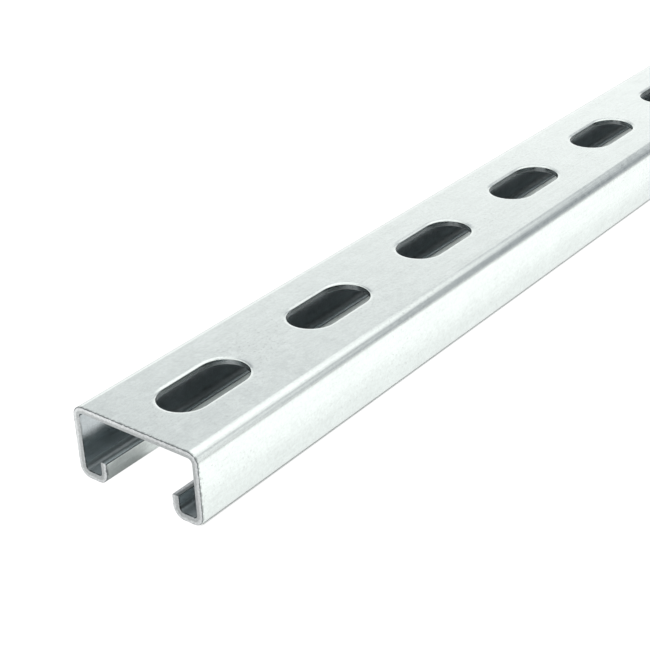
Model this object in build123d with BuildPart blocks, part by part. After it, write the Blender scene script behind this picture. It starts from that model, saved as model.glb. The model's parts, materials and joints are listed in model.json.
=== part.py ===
"""Slotted strut channel: one length of roll-formed, pre-galvanised steel strip.

The strip is bent into a C whose two edges are turned in and then up again, so
that a channel nut can grip them. A row of long slots is punched in the web.

Frame: X runs along the stock and Z points up. The channel lies as it is stored,
web up and open side down, resting on its two bottom flanges. The origin is
midway along the stock and midway across it, at the level of those flanges.
"""

import os

from build123d import *

INCH = 25.4

# Stock
length = 24 * INCH
thickness = 1.905  # 14 gauge strip

# Section, over the outside
width = 1.625 * INCH
height = 0.8125 * INCH
mouth_width = 0.875 * INCH  # clear gap between the two lips
lip_height = 0.25 * INCH  # from the flange's underside to the lip's edge
inside_bend_radius = 1.27

# Slots punched in the web
slot_length = 1.125 * INCH
slot_width = 0.5625 * INCH
slot_pitch = 2 * INCH
slot_end_distance = 1 * INCH  # least distance from a cut end to a slot's centre
punch_edge_radius = 0.8  # rim drawn down on the side where the punch enters

rounding_slack = 1e-6  # keeps a whole number of pitches whole
outside_bend_radius = inside_bend_radius + thickness
slot_count = int((length - 2 * slot_end_distance) / slot_pitch + rounding_slack) + 1

with BuildPart() as channel:
    # The section: the strip's outer face as one bent line, thickened inwards
    with BuildSketch(Plane.YZ.offset(-length / 2)) as section:
        with BuildLine() as strip:
            outer_face = FilletPolyline(
                (-mouth_width / 2, lip_height),
                (-mouth_width / 2, 0),
                (-width / 2, 0),
                (-width / 2, height),
                (width / 2, height),
                (width / 2, 0),
                (mouth_width / 2, 0),
                (mouth_width / 2, lip_height),
                radius=outside_bend_radius,
            )
            offset(outer_face, amount=thickness, side=Side.RIGHT)
        make_face()
    extrude(amount=length)

    # The row of slots, punched through the web alone
    with BuildSketch(Plane.XY.offset(height)):
        with GridLocations(slot_pitch, 0, slot_count, 1):
            SlotOverall(slot_length, slot_width)
    extrude(amount=-thickness, mode=Mode.SUBTRACT)

    # The punch draws the rim of each slot down into a small round
    web_face = channel.faces().sort_by(Axis.Z)[-1]
    slot_rims = [wire.edges() for wire in web_face.inner_wires()]
    fillet(slot_rims, radius=punch_edge_radius)

channel.part.label = "channel"

os.makedirs("parts", exist_ok=True)
export_step(channel.part, "parts/channel.step")
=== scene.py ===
# %% [markdown]
# # A length of slotted strut channel
#
# Strut channel is the steel rail that carries pipes, cable trays and shelves. It begins as flat galvanised
# strip. A press punches the row of slots, and a line of rollers then bends the strip into a C whose edges
# are turned in and up again, as lips that channel nuts grip from inside.
#
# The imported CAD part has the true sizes, but its bends are a few flat facets, and a metal shows every facet
# in its reflections. So the strip is worked out again here as one smooth surface over the CAD part, and gets
# its zinc, its cut edges and a small studio to lie in.

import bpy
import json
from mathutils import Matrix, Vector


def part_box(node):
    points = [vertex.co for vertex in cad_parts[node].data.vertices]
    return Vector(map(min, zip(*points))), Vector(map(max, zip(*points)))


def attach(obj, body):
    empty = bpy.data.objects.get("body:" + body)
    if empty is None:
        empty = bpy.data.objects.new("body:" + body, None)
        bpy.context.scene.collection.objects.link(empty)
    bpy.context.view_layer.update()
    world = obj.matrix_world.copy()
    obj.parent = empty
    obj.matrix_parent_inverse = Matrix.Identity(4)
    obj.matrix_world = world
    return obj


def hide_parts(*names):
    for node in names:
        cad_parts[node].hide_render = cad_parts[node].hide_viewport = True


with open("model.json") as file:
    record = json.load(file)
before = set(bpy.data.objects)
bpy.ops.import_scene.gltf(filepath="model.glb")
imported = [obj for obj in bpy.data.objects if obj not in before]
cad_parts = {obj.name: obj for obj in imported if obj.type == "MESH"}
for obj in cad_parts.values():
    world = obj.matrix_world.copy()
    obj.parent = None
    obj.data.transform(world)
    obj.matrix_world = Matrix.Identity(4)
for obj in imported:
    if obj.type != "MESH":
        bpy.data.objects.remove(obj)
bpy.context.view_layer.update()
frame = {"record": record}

import json
import math
from functools import partial

import bpy
import numpy as np
from mathutils import Matrix, Vector

MM = 0.001
low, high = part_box("channel")
length, width, height = high - low
print(f"channel {length / MM:.1f} x {width / MM:.2f} x {height / MM:.2f} mm")

# %% The slots, as the record states them
slot_sizes = next(m["dims"] for m in frame["record"]["mounts"] if m["kind"] == "bolt_pattern")
slot_pitch = slot_sizes["spacing_x_mm"] * MM
slot_length = slot_sizes["slot_length_mm"] * MM
slot_radius = slot_sizes["hole_r_mm"] * MM
slot_count = round(length / slot_pitch)
print(f"{slot_count} slots of {slot_length / MM:.2f} x {2 * slot_radius / MM:.2f} mm")

# %% [markdown]
# ## The bent strip
#
# The section could be drawn as an outline and carried along, but a strip that is bent keeps its thickness
# all the way round. So it is simpler to walk along its outer face, in straight runs and quarter turns, and
# to step inwards from there. Half of the section is enough, from the edge of the web to the edge of one lip:
# the other half is its mirror image.

# %% The walk along the outer face
thickness = 1.905 * MM  # 14 gauge strip
bend_radius = 1.27 * MM + thickness  # of the outer face
mouth_width = 22.225 * MM  # between the lips
lip_height = 6.35 * MM
edge_round = 0.2 * MM  # what shearing leaves on a cut edge
bend_steps = 12
run_steps = 4

web_width = width - 2 * bend_radius  # its flat part
wall_run = height - 2 * bend_radius
flange_run = (width - mouth_width) / 2 - 2 * bend_radius
lip_run = lip_height - bend_radius - edge_round


def walk_half_section():
    """Places, outward normals and headings along the outer face, from the web's edge to the lip's edge.

    Each step has a length and a turn. Its chord is the length times sin(turn / 2) / (turn / 2), laid along
    the mean of the headings at its two ends, so a step in a bend ends exactly on the arc.
    """
    quarter = math.pi / 2
    lengths, turns = [], []
    for run in (wall_run, flange_run, lip_run):
        lengths += [bend_radius * quarter / bend_steps] * bend_steps + [run / run_steps] * run_steps
        turns += [quarter / bend_steps] * bend_steps + [0.0] * run_steps
    heading = np.concatenate([[0], np.cumsum(turns)])
    mean_heading = (heading[1:] + heading[:-1]) / 2
    chords = np.array(lengths) * np.sinc(np.array(turns) / 2 / math.pi)
    steps = chords[:, None] * np.stack([np.cos(mean_heading), -np.sin(mean_heading)], 1)
    places = np.array([web_width / 2, height]) + np.concatenate([[[0, 0]], np.cumsum(steps, 0)])
    normals = np.stack([np.sin(heading), np.cos(heading)], 1)
    headings = np.stack([np.cos(heading), -np.sin(heading)], 1)
    return places, normals, headings


places, normals, headings = walk_half_section()
print(f"half section: {len(places)} places, the last at {np.round(places[-1] / MM, 3)} mm")

# %% [markdown]
# ## Edges that are not sharp
#
# A plate with rounded edges is a thinner plate, its core, grown outwards by a small ball. So each point of
# the section is a core point plus growth times a direction. At the lip's edge the direction swings from the
# face's normal to the heading, and at the cut ends the growth itself shrinks along a quarter circle.
#
# Each point also carries its depth below the outer face. The material of the cut edges reads it later.


# %% The two faces of the section
def half_faces(growth):
    """The outer and the inner face of the half section, each from the web's edge to the lip's cut edge.

    A row holds the place across, the height, and the depth below the outer face.
    """
    swing = np.radians([30, 60, 90])
    faces = []
    for core_depth, side in ((edge_round, 1), (thickness - edge_round, -1)):
        core = places - core_depth * normals
        out = side * growth * np.cos(swing)
        on = growth * np.sin(swing)
        round_edge = core[-1] + out[:, None] * normals[-1] + on[:, None] * headings[-1]
        depth = np.concatenate([np.full(len(core), core_depth - side * growth), core_depth - out])
        faces.append(np.column_stack([np.concatenate([core + side * growth * normals, round_edge]), depth]))
    return faces


web_steps = 16
mirror = np.array([-1, 1, 1])


def whole_faces(growth):
    """Both faces of the whole section, lip to lip: the mirrored half, the web, and the half."""
    faces = []
    for half in half_faces(growth):
        web = np.linspace(half[0] * mirror, half[0], web_steps + 1)[1:-1]
        faces.append(np.concatenate([half[::-1] * mirror, web, half]))
    return faces


for name, face in zip(("outer", "inner"), whole_faces(edge_round)):
    print(f"{name} face of the whole section: {len(face)} places")

# %% [markdown]
# ## A web full of slots
#
# A grid cannot have a hole in it, but it can run round one. Each slot has a cell of the web, as long as the
# pitch. One parameter goes round the slot. The other leaves the cell's border, crosses the outer face, goes
# down the rim and through the strip, and returns to the border along the inner face.
#
# The punch drags the outer face down with it, which leaves a wide soft rim: a quarter of an ellipse. Where
# it breaks out of the inner face there is hardly any.

# %% Once round the slot, and once round its cell
cell_steps = 24
rim_width = 1.2 * MM
rim_drop = 0.4 * MM

corners = np.cumsum([0, cell_steps, web_steps, cell_steps, web_steps])
round_trip = np.arange(corners[-1])
border = np.stack([np.interp(round_trip, corners, [0, 1, 1, 0, 0]),
                   np.interp(round_trip, corners, [-1, -1, 1, 1, -1]) * web_width / 2], 1)

# A slot is two half circles joined by straight runs. Along its outline the centre moves on the straight
# runs alone, and the direction turns on the half circles alone.
straight = slot_length - 2 * slot_radius
arc = math.pi * slot_radius / 2
bends = np.cumsum([0, arc / 2, straight, 2 * arc, straight, 1.5 * arc])
travel = np.interp(round_trip, corners, np.cumsum([0, straight + arc, arc, straight + arc, arc]))
direction = np.radians(np.interp(travel, bends, [-135, -90, -90, 90, 90, 225]))
centre = np.interp(travel, bends, np.array([-1, -1, 1, 1, -1, -1]) * straight / 2)


def slot_outline(middle, reach):
    """The slot's outline, pushed outwards by reach: centre + (radius + reach) times the direction."""
    out = slot_radius + reach
    return np.stack([middle + centre + out * np.cos(direction), out * np.sin(direction)], 1)


shares = np.array([0, 0.35, 0.7, 0.95])[:, None, None]  # of the way from the border to the rim
rim_turn = np.radians(np.linspace(0, 90, 9))
edge_turn = np.radians(np.linspace(0, 90, 4))
rim_foot = len(shares) + len(rim_turn) - 1
punched_rows = (rim_foot, rim_foot + len(edge_turn))


def web_cell(start, end):
    """Grid of points (x, y, z, depth), from border to border of one cell, times once round its slot."""
    middle = low.x + (round((start - low.x) / slot_pitch) + 0.5) * slot_pitch
    at_border = border * [end - start, 1] + [start, 0]

    over_face = at_border + shares * (slot_outline(middle, rim_width) - at_border)
    rim = [slot_outline(middle, rim_width * (1 - math.sin(turn))) for turn in rim_turn]
    edge = [slot_outline(middle, edge_round * (1 - math.cos(turn))) for turn in edge_turn]
    under_face = at_border + shares[::-1] * (slot_outline(middle, edge_round) - at_border)

    plan = np.concatenate([over_face, rim, edge, under_face])
    depth = np.concatenate([
        np.zeros(len(shares)),
        rim_drop * (1 - np.cos(rim_turn)),
        thickness - edge_round * (1 - np.sin(edge_turn)),
        np.full(len(shares), thickness),
    ])
    depth = np.broadcast_to(depth[:, None, None], plan.shape[:2] + (1,))
    return np.concatenate([plan, height - depth, depth], 2)


print(f"{len(round_trip)} points go round each slot; its rim is {rim_width / MM:.1f} mm wide")

# %% [markdown]
# ## From grids to one closed body
#
# Every patch is a grid of points, so one helper numbers the faces of them all. The patches share the points
# of their borders, so joining equal points closes the body: web cells, the two bent sides, and the ends.

# %% Patches
patches = []
zinc_finish, sheared_finish, punched_finish, slit_finish = range(4)


def keep_patch(grid, cut_rows=(0, 0), cut_finish=sheared_finish, closed=False, flip=False):
    """Keeps a grid of points (x, y, z, depth), its faces, and the finish of each: zinc but for the cut rows.

    A face joins two rows and two columns that lie side by side; in a closed grid the last column meets the
    first. A flipped grid turns its faces over, so that they point outwards.
    """
    rows, columns = grid.shape[:2]
    row, column = np.meshgrid(np.arange(rows - 1), np.arange(columns - 1 + closed), indexing="ij")
    this_row, next_row = row * columns, (row + 1) * columns
    after = (column + 1) % columns
    faces = np.stack([this_row + column, this_row + after, next_row + after, next_row + column], -1)
    finish = np.full(row.shape, zinc_finish)
    finish[slice(*cut_rows)] = cut_finish
    faces = faces.reshape(-1, 4)
    patches.append((grid.reshape(-1, 4), faces[:, ::-1] if flip else faces, finish.ravel()))


def along_x(stations, rows):
    """Grid of points (x, y, z, depth): each section point at each station along the channel."""
    shape = (len(rows), len(stations))
    x = np.broadcast_to(stations[None, :, None], shape + (1,))
    return np.concatenate([x, np.broadcast_to(rows[:, None, :], shape + (3,))], 2)


# %% The web, the sides and the ends
cell_ends = low.x + np.arange(slot_count + 1) * slot_pitch
cell_ends[[0, -1]] += [edge_round, -edge_round]
for start, end in zip(cell_ends[:-1], cell_ends[1:]):
    keep_patch(web_cell(start, end), punched_rows, punched_finish, closed=True)

cell_starts = np.arange(slot_count + 1) * cell_steps
stations = np.interp(np.arange(slot_count * cell_steps + 1), cell_starts, cell_ends)
outer, inner = half_faces(edge_round)
around_lip = np.concatenate([outer, inner[::-1]])
lip_edge = (len(places) - 1, len(around_lip) - len(places))
keep_patch(along_x(stations, around_lip), lip_edge, slit_finish)
keep_patch(along_x(stations, around_lip * mirror), lip_edge, slit_finish, flip=True)

# At each cut end the section shrinks ring by ring along the rounding, and one flat strip closes it.
end_turns = np.radians([0, 25, 50, 75])
for end in (1, -1):
    rings = []
    for turn in end_turns:
        outer, inner = whole_faces(edge_round * math.cos(turn))
        x = end * (high.x - edge_round * (1 - math.sin(turn) / math.sin(end_turns[-1])))
        rings.append(along_x(np.array([x]), np.concatenate([outer, inner[::-1]]))[:, 0])
    keep_patch(np.stack(rings), (0, len(rings)), closed=True, flip=end > 0)
    face = rings[-1].reshape(2, -1, 4)
    keep_patch(np.stack([face[0], face[1, ::-1]]), (0, 1), flip=end > 0)
print(f"{len(patches)} patches: {slot_count} web cells, 2 sides, and 2 for each cut end")

# %% One mesh that stands for the CAD part
points = np.concatenate([grid for grid, _, _ in patches])
first_point = np.cumsum([0] + [len(grid) for grid, _, _ in patches[:-1]])
faces = np.concatenate([numbers + start for (_, numbers, _), start in zip(patches, first_point)])
finish = np.concatenate([numbers for _, _, numbers in patches])
tenth_micron = np.round(points[:, :3] / (1e-4 * MM)).astype(np.int64)
_, kept, joined = np.unique(tenth_micron, axis=0, return_index=True, return_inverse=True)

mesh = bpy.data.meshes.new("strut_channel")
mesh.from_pydata(points[kept, :3].tolist(), [], joined.ravel()[faces].tolist())
mesh.shade_smooth()
mesh.polygons.foreach_set("material_index", finish.astype(np.int32))
depth = mesh.attributes.new("depth", "FLOAT", "POINT")
depth.data.foreach_set("value", (points[kept, 3] / thickness).astype(np.float32))

channel = bpy.data.objects.new("strut_channel", mesh)
bpy.context.scene.collection.objects.link(channel)
channel.modifiers.new("flat faces stay flat", "WEIGHTED_NORMAL").weight = 100
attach(channel, "root")
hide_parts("channel")
cut_faces = (finish != zinc_finish).sum()
print(f"strut_channel: {len(mesh.vertices)} points, {len(mesh.polygons)} faces, {cut_faces} of them cut")

# %% [markdown]
# ## Tools for materials
#
# A colour is written as the eye knows it, in sRGB hex, and one function turns it into the linear light that
# the renderer counts in. One more function adds any node with its settings and links.
#
# Marks and shadows have places: the lips, the gutters, the foot of a wall. They could be painted on, but
# their edges are at known sizes. So a mark fades in at each of its edges by a smooth step, and the steps are
# multiplied.


# %% Colours, nodes and fades
def linear(hex_colour):
    """An sRGB hex colour as linear red, green, blue, and full alpha."""
    srgb = np.array([int(hex_colour[i : i + 2], 16) for i in (1, 3, 5)]) / 255
    light = np.where(srgb <= 0.04045, srgb / 12.92, ((srgb + 0.055) / 1.055) ** 2.4)
    return (*light.tolist(), 1.0)


def add_node(tree, kind, inputs=(), stops=(), **settings):
    """Adds a node and gives back its outputs.

    Inputs are values, or outputs to link, in the order of the sockets or by their names. Settings are the
    node's properties. Stops are a colour ramp's own: pairs of a position and an sRGB hex colour.
    """
    node = tree.nodes.new("ShaderNode" + kind)
    for name, value in settings.items():
        setattr(node, name, value)
    by_socket = inputs if isinstance(inputs, dict) else dict(enumerate(inputs))
    for socket, value in by_socket.items():
        if isinstance(value, bpy.types.NodeSocket):
            tree.links.new(value, node.inputs[socket])
        else:
            node.inputs[socket].default_value = value
    for _ in stops[2:]:
        node.color_ramp.elements.new(1.0)
    for number, (position, hex_colour) in enumerate(stops):
        node.color_ramp.elements[number].position = position
        node.color_ramp.elements[number].color = linear(hex_colour)
    return node.outputs


def new_material(name):
    """An empty material, what adds nodes to it, and its Object coordinates: metres on the real part."""
    material = bpy.data.materials.new(name)
    material.use_nodes = True
    material.node_tree.nodes.clear()
    add = partial(add_node, material.node_tree)
    return material, add, add("TexCoord")["Object"]


def fade(add, *edges):
    """How strong a mark is at each point: the product of the smooth steps at its edges.

    An edge is a value, where its step starts and where it ends. The step goes from 0 to 1, or between two
    numbers that follow, and may start at the larger value.
    """
    strength = 1.0
    for edge in edges:
        step = add("MapRange", edge, interpolation_type="SMOOTHSTEP")[0]
        strength = add("Math", (strength, step), operation="MULTIPLY")[0]
    return strength


# %% [markdown]
# ## Zinc
#
# The strip was dipped in molten zinc and skin-passed between steel rolls before it was cut. Zinc is a pale,
# faintly green metal. It freezes in crystals, the spangle, which on this fine-grained strip are only a
# couple of millimetres across and hard to see. The rolls leave a fine tooth of a few tenths of a millimetre
# and faint lengthwise streaks.
#
# No image is used here: each mark is noise at its real size. Most of them darken or brighten the metal by a
# percent or two, and the tooth also tilts the surface, so that reflections break up. Handling leaves small
# darker flecks. Shade is painted in its own places: at the cut ends, in patches on the lips, and in the
# gutters behind them.

# %% The coat as it left the rolls
tooth_size = 0.7 * MM  # of its coarsest part: the detail goes on to a tenth
cloud_size = 6 * MM
spangle_size = 2 * MM
wander_size = 1.5 * MM
wander_reach = 1.2 * MM

zinc, add, where = new_material("skin_passed_zinc_coat")
tooth = add("TexNoise", {"Vector": where, "Scale": 1 / tooth_size, "Detail": 3.0})[0]
clouds = add("TexNoise", {"Vector": where, "Scale": 1 / cloud_size})[0]
drawn_out = add("VectorMath", (where, (0.03, 1, 1)), operation="MULTIPLY")[0]
streaks = add("TexNoise", {"Vector": drawn_out, "Scale": 1 / tooth_size})[0]

# Crystals are cells of a Voronoi pattern. Pushing it about by a millimetre makes their borders wander.
wander = add("TexNoise", {"Vector": where, "Scale": 1 / wander_size})["Color"]
push = add("VectorMath", {"Vector": wander, "Scale": wander_reach}, operation="SCALE")[0]
pushed = add("VectorMath", (where, push), operation="ADD")[0]
cells = add("TexVoronoi", {"Vector": pushed, "Scale": 1 / spangle_size})["Color"]
crystal = add("SeparateColor", (cells,))["Red"]
print(f"tooth of {tooth_size / MM:.1f} mm, crystals of {spangle_size / MM:.1f} mm")

# %% Marks of handling, and painted shade
place = add("SeparateXYZ", (where,))
from_middle = add("Math", (place["X"],), operation="ABSOLUTE")[0]
sideways = add("Math", (place["Y"],), operation="ABSOLUTE")[0]
upwards = place["Z"]
depth = add("Attribute", attribute_name="depth")["Fac"]
smeared = add("VectorMath", (where, (0.25, 1, 1)), operation="MULTIPLY")[0]  # longer along the channel

# Small dull flecks come in groups, where the coat was rubbed.
specks = add("TexNoise", {"Vector": where, "Scale": 1 / (0.9 * MM)})[0]
rubbed = add("TexNoise", {"Vector": smeared, "Scale": 1 / (12 * MM)})[0]
flecks = fade(add, (specks, 0.60, 0.68), (rubbed, 0.50, 0.62))

# Before the cut ends, the last half millimetre gets painted shade in places, where the shears rolled the edge
# over.
last_bit = (from_middle, length / 2 - 0.75 * MM, length / 2 - 0.35 * MM)
end_edge_shade = fade(add, last_bit, (specks, 0.38, 0.55))

# The lips lie in shade under the web, and get painted shade in patches.
lip_inside = mouth_width / 2 + thickness
lip_side = (sideways, lip_inside + 0.4 * MM, lip_inside + 0.2 * MM)
lip_top = (upwards, lip_height + 2.6 * MM, lip_height + 1.6 * MM)
lip_patch_noise = add("TexNoise", {"Vector": smeared, "Scale": 1 / (3 * MM), "Detail": 4.0})[0]
lip_shade_patches = fade(add, lip_side, lip_top, (lip_patch_noise, 0.40, 0.62))

# Rolling oil and dust dull the gutters behind the lips, and painted shade darkens them. Further in than a
# finger reaches, oil and dust dull the whole inside, and the gutters get deeper painted shade.
inner_face = (depth, 0.6, 0.9)
gutter = fade(add, inner_face, (upwards, 4.5 * MM, 2.5 * MM))
deep_inside = fade(add, inner_face, (from_middle, length / 2 - 18 * MM, length / 2 - 32 * MM))
deep_gutter_shade = add("Math", (gutter, deep_inside), operation="MULTIPLY")[0]

# %% How bright and how smooth it is
# The last four marks, on the lips, in the gutters and at the cut ends, are painted shade.
shade = 1.0
for pattern, middle, strength in (
    (tooth, 0.5, 0.22),
    (clouds, 0.5, 0.10),
    (streaks, 0.5, 0.09),
    (crystal, 0.5, 0.02),
    (flecks, 0.0, -0.13),
    (lip_shade_patches, 0.0, -0.22),
    (gutter, 0.0, -0.42),
    (deep_gutter_shade, 0.0, -0.09),
    (end_edge_shade, 0.0, -0.4),
):
    change = add("Math", (pattern, middle), operation="SUBTRACT")[0]
    shade = add("Math", (change, strength, shade), operation="MULTIPLY_ADD")[0]

# Outside, the rolls have polished it to a pale, faintly green white. Inside it is painted a little greyer and
# bluer, as shade, which the dark of the slots shows most, as the light is mirrored there several times over.
coat = add("ValToRGB", (depth,), stops=((0.6, "#F3FAF7"), (0.9, "#E6EDEF")))[0]
colour = add("VectorMath", {"Vector": coat, "Scale": shade}, operation="SCALE")[0]

# A roughness of 0.2 blurs the room to soft bands. Crystals differ by a little, and oil and dust are dull.
roughness = 0.20
for pattern, strength in ((gutter, 0.25), (crystal, 0.05), (deep_inside, 0.18)):
    roughness = add("Math", (pattern, strength, roughness), operation="MULTIPLY_ADD")[0]

relief = add("Bump", {"Height": tooth, "Strength": 0.35, "Distance": 0.012 * MM})[0]
surface = {"Base Color": colour, "Metallic": 1.0, "Roughness": roughness, "Normal": relief}
add("OutputMaterial", (add("BsdfPrincipled", surface)[0],))
mesh.materials.append(zinc)
print(f"{zinc.name}: {len(zinc.node_tree.nodes)} nodes")

# %% [markdown]
# ## Cut edges
#
# Shears, slitting knives and punches all cut alike. First the blade drags the zinc down over the edge, and a
# thin dark line there is painted shade. Then it slices, which leaves a bright burnished band. The rest of the
# strip tears, and is duller. The depth that each point carries says which band it is in, and noise makes the
# borders ragged.
#
# A worn punch drags more zinc into its hole, so the walls of the slots are greyer than the sheared edges. The
# strip was slit to its width before it was rolled. The lips' edges lie in shade inside the channel, so the
# torn part of them is painted darker.

# %% Sheared, punched and slit steel
wobble_size = 0.7 * MM  # of the borders between the bands
grit_size = 0.18 * MM
grain_size = 0.45 * MM


def cut_steel(name, *bands):
    """A cut edge whose colour goes through bands of (depth, sRGB hex), with ragged borders between them."""
    material, add, where = new_material(name)
    depth = add("Attribute", attribute_name="depth")["Fac"]
    wobble = add("TexNoise", {"Vector": where, "Scale": 1 / wobble_size})[0]
    ragged = add("Math", (wobble, 0.5), operation="SUBTRACT")[0]
    band = add("Math", (ragged, 0.35, depth), operation="MULTIPLY_ADD")[0]
    tone = add("ValToRGB", (band,), stops=bands)[0]
    grain = add("TexNoise", {"Vector": where, "Scale": 1 / grain_size, "Detail": 3.0})[0]
    brightness = fade(add, (grain, 0.35, 0.65, 0.87, 1.09))
    colour = add("VectorMath", {"Vector": tone, "Scale": brightness}, operation="SCALE")[0]
    roughness = fade(add, (band, 0.42, 0.52, 0.22, 0.32))  # sliced, then torn
    grit = add("TexNoise", {"Vector": where, "Scale": 1 / grit_size, "Detail": 3.0})[0]
    relief = add("Bump", {"Height": grit, "Strength": 0.4, "Distance": 0.02 * MM})[0]
    surface = {"Base Color": colour, "Metallic": 1.0, "Roughness": roughness, "Normal": relief}
    add("OutputMaterial", (add("BsdfPrincipled", surface)[0],))
    mesh.materials.append(material)
    print(f"{name}: {len(bands)} bands")


# Bare steel is a neutral grey: bright where it was sliced, middling where it tore. The dark first stop of
# the sheared and the slit edge is painted shade, and so is the slit edge's darker torn part.
cut_steel("sheared_steel_edge", (0.07, "#7D8283"), (0.12, "#DEE1E2"), (0.42, "#D6D9D9"), (0.55, "#BABEBE"),
          (0.92, "#B6BABA"), (1.0, "#CFD2D2"))
cut_steel("punched_steel_edge", (0.3, "#A3A9A9"), (0.45, "#AEB4B5"), (1.0, "#A6ACAD"))
cut_steel("slit_steel_edge", (0.07, "#7D8283"), (0.12, "#DEE1E2"), (0.35, "#D6D9D9"), (0.6, "#8E9292"),
          (1.0, "#828686"))

# %% [markdown]
# ## A table of white paper
#
# Metal has no look of its own: it shows the room. The paper glows white to the camera and in the metal, and
# keeps a little of its matt side for the channel's shadow.
#
# No shadow darkens a thing that glows, so the paper is told where light is short. Under the flanges there is
# none. Between the lips it fades inwards from the open ends, and so do the slots and the inside. Along the
# foot of the walls the metal mirrors a dimmer strip. Far off the paper is dimmer too, but only as the metal
# mirrors it: painted shade in the reflections.
#
# Seen from below, the sheet is not there, so that the channel's underside can be looked at.

# %% The sheet
reach = 3.0
below = -0.05 * MM  # so that the paper and the flanges don't share a plane
sheet = bpy.data.meshes.new("paper")
square = [(-reach, -reach, below), (reach, -reach, below), (reach, reach, below), (-reach, reach, below)]
sheet.from_pydata(square, [], [(0, 1, 2, 3)])
floor = bpy.data.objects.new("paper", sheet)
bpy.context.scene.collection.objects.link(floor)
print(f"paper {2 * reach:.0f} m wide")

# %% Where the paper is dark
white_paper, add, where = new_material("white_paper")
one_quarter = add("VectorMath", (where,), operation="ABSOLUTE")[0]  # the other three are mirror images
away = add("SeparateXYZ", (one_quarter,))
across = away["Y"]
inwards = add("Math", (length / 2, away["X"]), operation="SUBTRACT")[0]  # from the nearer cut end
outwards = add("Math", (across, width / 2), operation="SUBTRACT")[0]  # from the nearer wall

# No light gets under a flange, from the lip's inside to where the bend at the wall's foot lifts off.
at_lip = (across, lip_inside, lip_inside + 1.5 * MM)
at_bend = (across, width / 2 - 0.3 * bend_radius, width / 2 - 0.55 * bend_radius)
under_flange = fade(add, at_lip, at_bend, (inwards, 0.0, 2 * MM))

mouth_edges = (across, lip_inside + 1 * MM, lip_inside - 1 * MM), (inwards, -2 * MM, 3 * MM)
far_in = fade(add, *mouth_edges, (inwards, 21 * MM, 28 * MM))
dark_seen = add("Math", (under_flange, far_in), operation="MAXIMUM")[0]

# %% Where it is dark in the metal
# The lips and the inside mirror half light from the ends, more of it along the middle, and then dusk. The
# dusk is deepest along the middle, and less deep far in, where the slots above have let in some light.
half_light = fade(add, (inwards, 11 * MM, 20 * MM, 1.0, 0.5), (across, 1.5 * MM, 4 * MM, 0.2, 1.0))
let_in = fade(add, (across, 3.5 * MM, 6.5 * MM), (inwards, 50 * MM, 220 * MM, 0.3, 1.0))
kept_out = add("Math", (1.0, let_in), operation="SUBTRACT")[0]
dusk = add("Math", (kept_out, fade(add, (inwards, 28 * MM, 40 * MM))), operation="MULTIPLY")[0]
short_of_light = add("Math", (half_light, dusk), operation="MAXIMUM")[0]
mouth = add("Math", (fade(add, *mouth_edges), short_of_light), operation="MULTIPLY")[0]

foot = fade(add, (outwards, 14 * MM, 6 * MM, 0.0, 0.38))
mouth_or_foot = add("Math", (mouth, foot), operation="MAXIMUM")[0]
dark_mirrored = add("Math", (under_flange, mouth_or_foot), operation="MAXIMUM")[0]

# %% Paper
most_glow = 0.88  # the rest is matt
glow_white, matt_white = 1.17, 0.8

path = add("LightPath")
glow_share = 0.0
for ray, dark in ((path["Is Camera Ray"], dark_seen), (path["Is Glossy Ray"], dark_mirrored)):
    lit = add("Math", (1.0, dark), operation="SUBTRACT")[0]
    glow_share = add("Math", (ray, lit, glow_share), operation="MULTIPLY_ADD")[0]
glow_share = add("Math", (glow_share, most_glow), operation="MULTIPLY")[0]

# Far off, the metal mirrors the paper dimmer: painted shade in the reflections.
dim_in_reflections = fade(add, (across, 45 * MM, 120 * MM, 0.0, 0.42))
far_off = add("Math", (path["Is Glossy Ray"], dim_in_reflections), operation="MULTIPLY")[0]
nearness = add("Math", (1.0, far_off), operation="SUBTRACT")[0]
matt_tone = add("Math", (nearness, matt_white), operation="MULTIPLY")[0]
glow_tone = add("Math", (nearness, glow_white), operation="MULTIPLY")[0]
matt = add("BsdfDiffuse", {"Color": matt_tone})[0]
glow = add("Emission", {"Strength": glow_tone})[0]
paper = add("MixShader", (glow_share, matt, glow))[0]

# Light that comes from below goes through the sheet, and never meets it again.
from_below = add("NewGeometry")["Backfacing"]
went_through = add("Math", (path["Transparent Depth"], 0.5), operation="GREATER_THAN")[0]
not_there = add("Math", (from_below, went_through), operation="MAXIMUM")[0]
nothing = add("BsdfTransparent")[0]
add("OutputMaterial", (add("MixShader", (not_there, paper, nothing))[0],))
sheet.materials.append(white_paper)
print(f"{white_paper.name}: {len(white_paper.node_tree.nodes)} nodes")

# %% [markdown]
# ## The room
#
# A tent of white cloth glows round the table. It is bright low down, dimmest at some thirty-five degrees up,
# bright again above that, and dimmer along its ridge. Where it is dim it is also a little blue, as shaded
# cloth is.
#
# A bend mirrors a whole quarter of the room within three millimetres, so the long bend's dark line is a few
# dim places in the cloth past the far end: its seams, and the shade of whoever stands there. One more, off
# the left side, takes the glare from the web's near end. A soft lamp overhead catches the rims of the slots.


# %% Tent
def toward(azimuth, elevation):
    """Unit vector; azimuth turns from +X to +Y, elevation is above the paper, both in degrees."""
    turn, rise = math.radians(azimuth), math.radians(elevation)
    return Vector((math.cos(turn) * math.cos(rise), math.sin(turn) * math.cos(rise), math.sin(rise)))


world = bpy.data.worlds.new("white_tent")
world.use_nodes = True
world.node_tree.nodes.clear()
bpy.context.scene.world = world
add = partial(add_node, world.node_tree)
way = add("TexCoord")["Generated"]
up = add("SeparateXYZ", (way,))["Z"]  # the sine of the elevation

tent = 0.0
for cloth in (
    (up, 0.32, 0.54, 1.05, 0.65),
    (up, 0.575, 0.655, 0.0, 0.39),
    (up, 0.84, 0.93, 0.0, -0.24),
):
    tent = add("Math", (tent, fade(add, cloth)), operation="ADD")[0]

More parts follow.
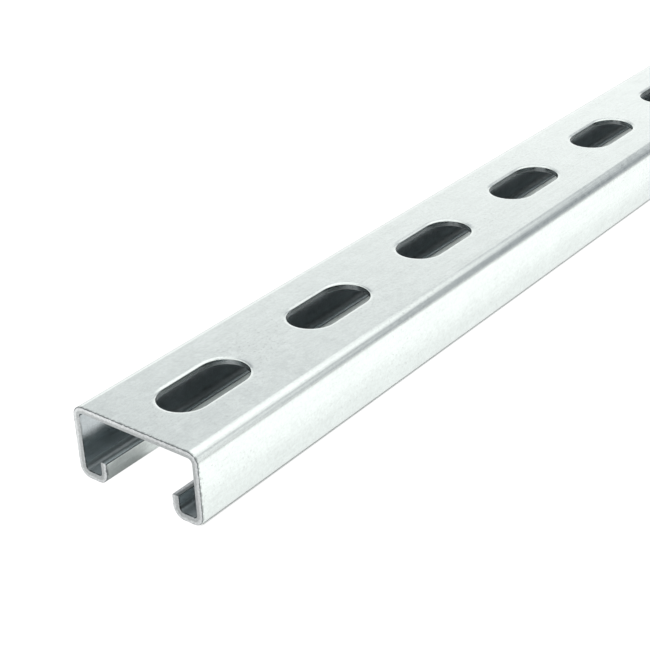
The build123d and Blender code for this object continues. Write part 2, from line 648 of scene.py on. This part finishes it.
# A dim place has its middle's azimuth and elevation, the radii of its core and of its edge, all in degrees,
# and the share of light that its core lacks.
for azimuth, elevation, core, edge, lacking in (
    (-28, 21, 4, 15, 0.57),
    (-38, 7, 8, 18, 0.56),
    (-8, 30, 4, 12, 0.33),
    (12, 31, 4, 15, 0.22),
    (76, 42, 5, 26, 0.48),
):
    likeness = add("VectorMath", (way, toward(azimuth, elevation)), operation="DOT_PRODUCT")["Value"]
    inside, outside = math.cos(math.radians(core)), math.cos(math.radians(edge))
    left = fade(add, (likeness, outside, inside, 1.0, 1 - lacking))
    tent = add("Math", (tent, left), operation="MULTIPLY")[0]

tint = add("ValToRGB", (tent,), stops=((0.25, "#E4EAF4"), (0.85, "#FFFFFF")))[0]
glowing_cloth = add("VectorMath", {"Vector": tint, "Scale": tent}, operation="SCALE")[0]
backdrop = add("LightPath")["Is Camera Ray"]
room = add("VectorMath", (glowing_cloth, backdrop), operation="MAXIMUM")[0]
add("OutputWorld", (add("Background", {"Color": room})[0],))
print(f"{world.name}: {len(world.node_tree.nodes)} nodes")

# %% Lamp
lamp_width, lamp_depth = 1.2, 1.0
lamp_distance = 1.3
lamp_radiance = 0.15  # 1 is white
lamp = bpy.data.lights.new("overhead_softbox", "AREA")
lamp.shape = "RECTANGLE"
lamp.size, lamp.size_y = lamp_width, lamp_depth
lamp.energy = lamp_radiance * math.pi * lamp_width * lamp_depth
overhead = bpy.data.objects.new("overhead_softbox", lamp)
bpy.context.scene.collection.objects.link(overhead)
from_lamp = toward(20, 78)
overhead.location = from_lamp * lamp_distance
overhead.rotation_euler = from_lamp.to_track_quat("Z", "Y").to_euler()
print(f"{lamp.name}: {lamp.energy:.2f} W")

# %% [markdown]
# ## Camera
#
# The camera stands half a metre off, low beside one end, and looks along the channel with a long lens. The
# near end fills the picture's corner, and the rest runs out of the picture, so that the slots crowd together
# as they do when a long rail is looked at. The camera is tipped by under three degrees.

# %% Camera and view
eye = Vector((-0.5108, -0.2281, 0.2083))
aim = Vector((-0.2382, -0.0062, 0.0206))
tip_degrees = -2.74
lens = bpy.data.cameras.new("camera")
lens.lens = 83.2
lens.sensor_width = 36
lens.clip_start = 0.01
camera = bpy.data.objects.new("camera", lens)
bpy.context.scene.collection.objects.link(camera)
camera.location = eye
tip = Matrix.Rotation(math.radians(tip_degrees), 3, "Z").to_quaternion()
camera.rotation_euler = ((eye - aim).to_track_quat("Z", "Y") @ tip).to_euler()
bpy.context.scene.camera = camera
bpy.context.scene.view_settings.view_transform = "Standard"
print(f"camera {(eye - aim).length:.2f} m from the point it looks at")
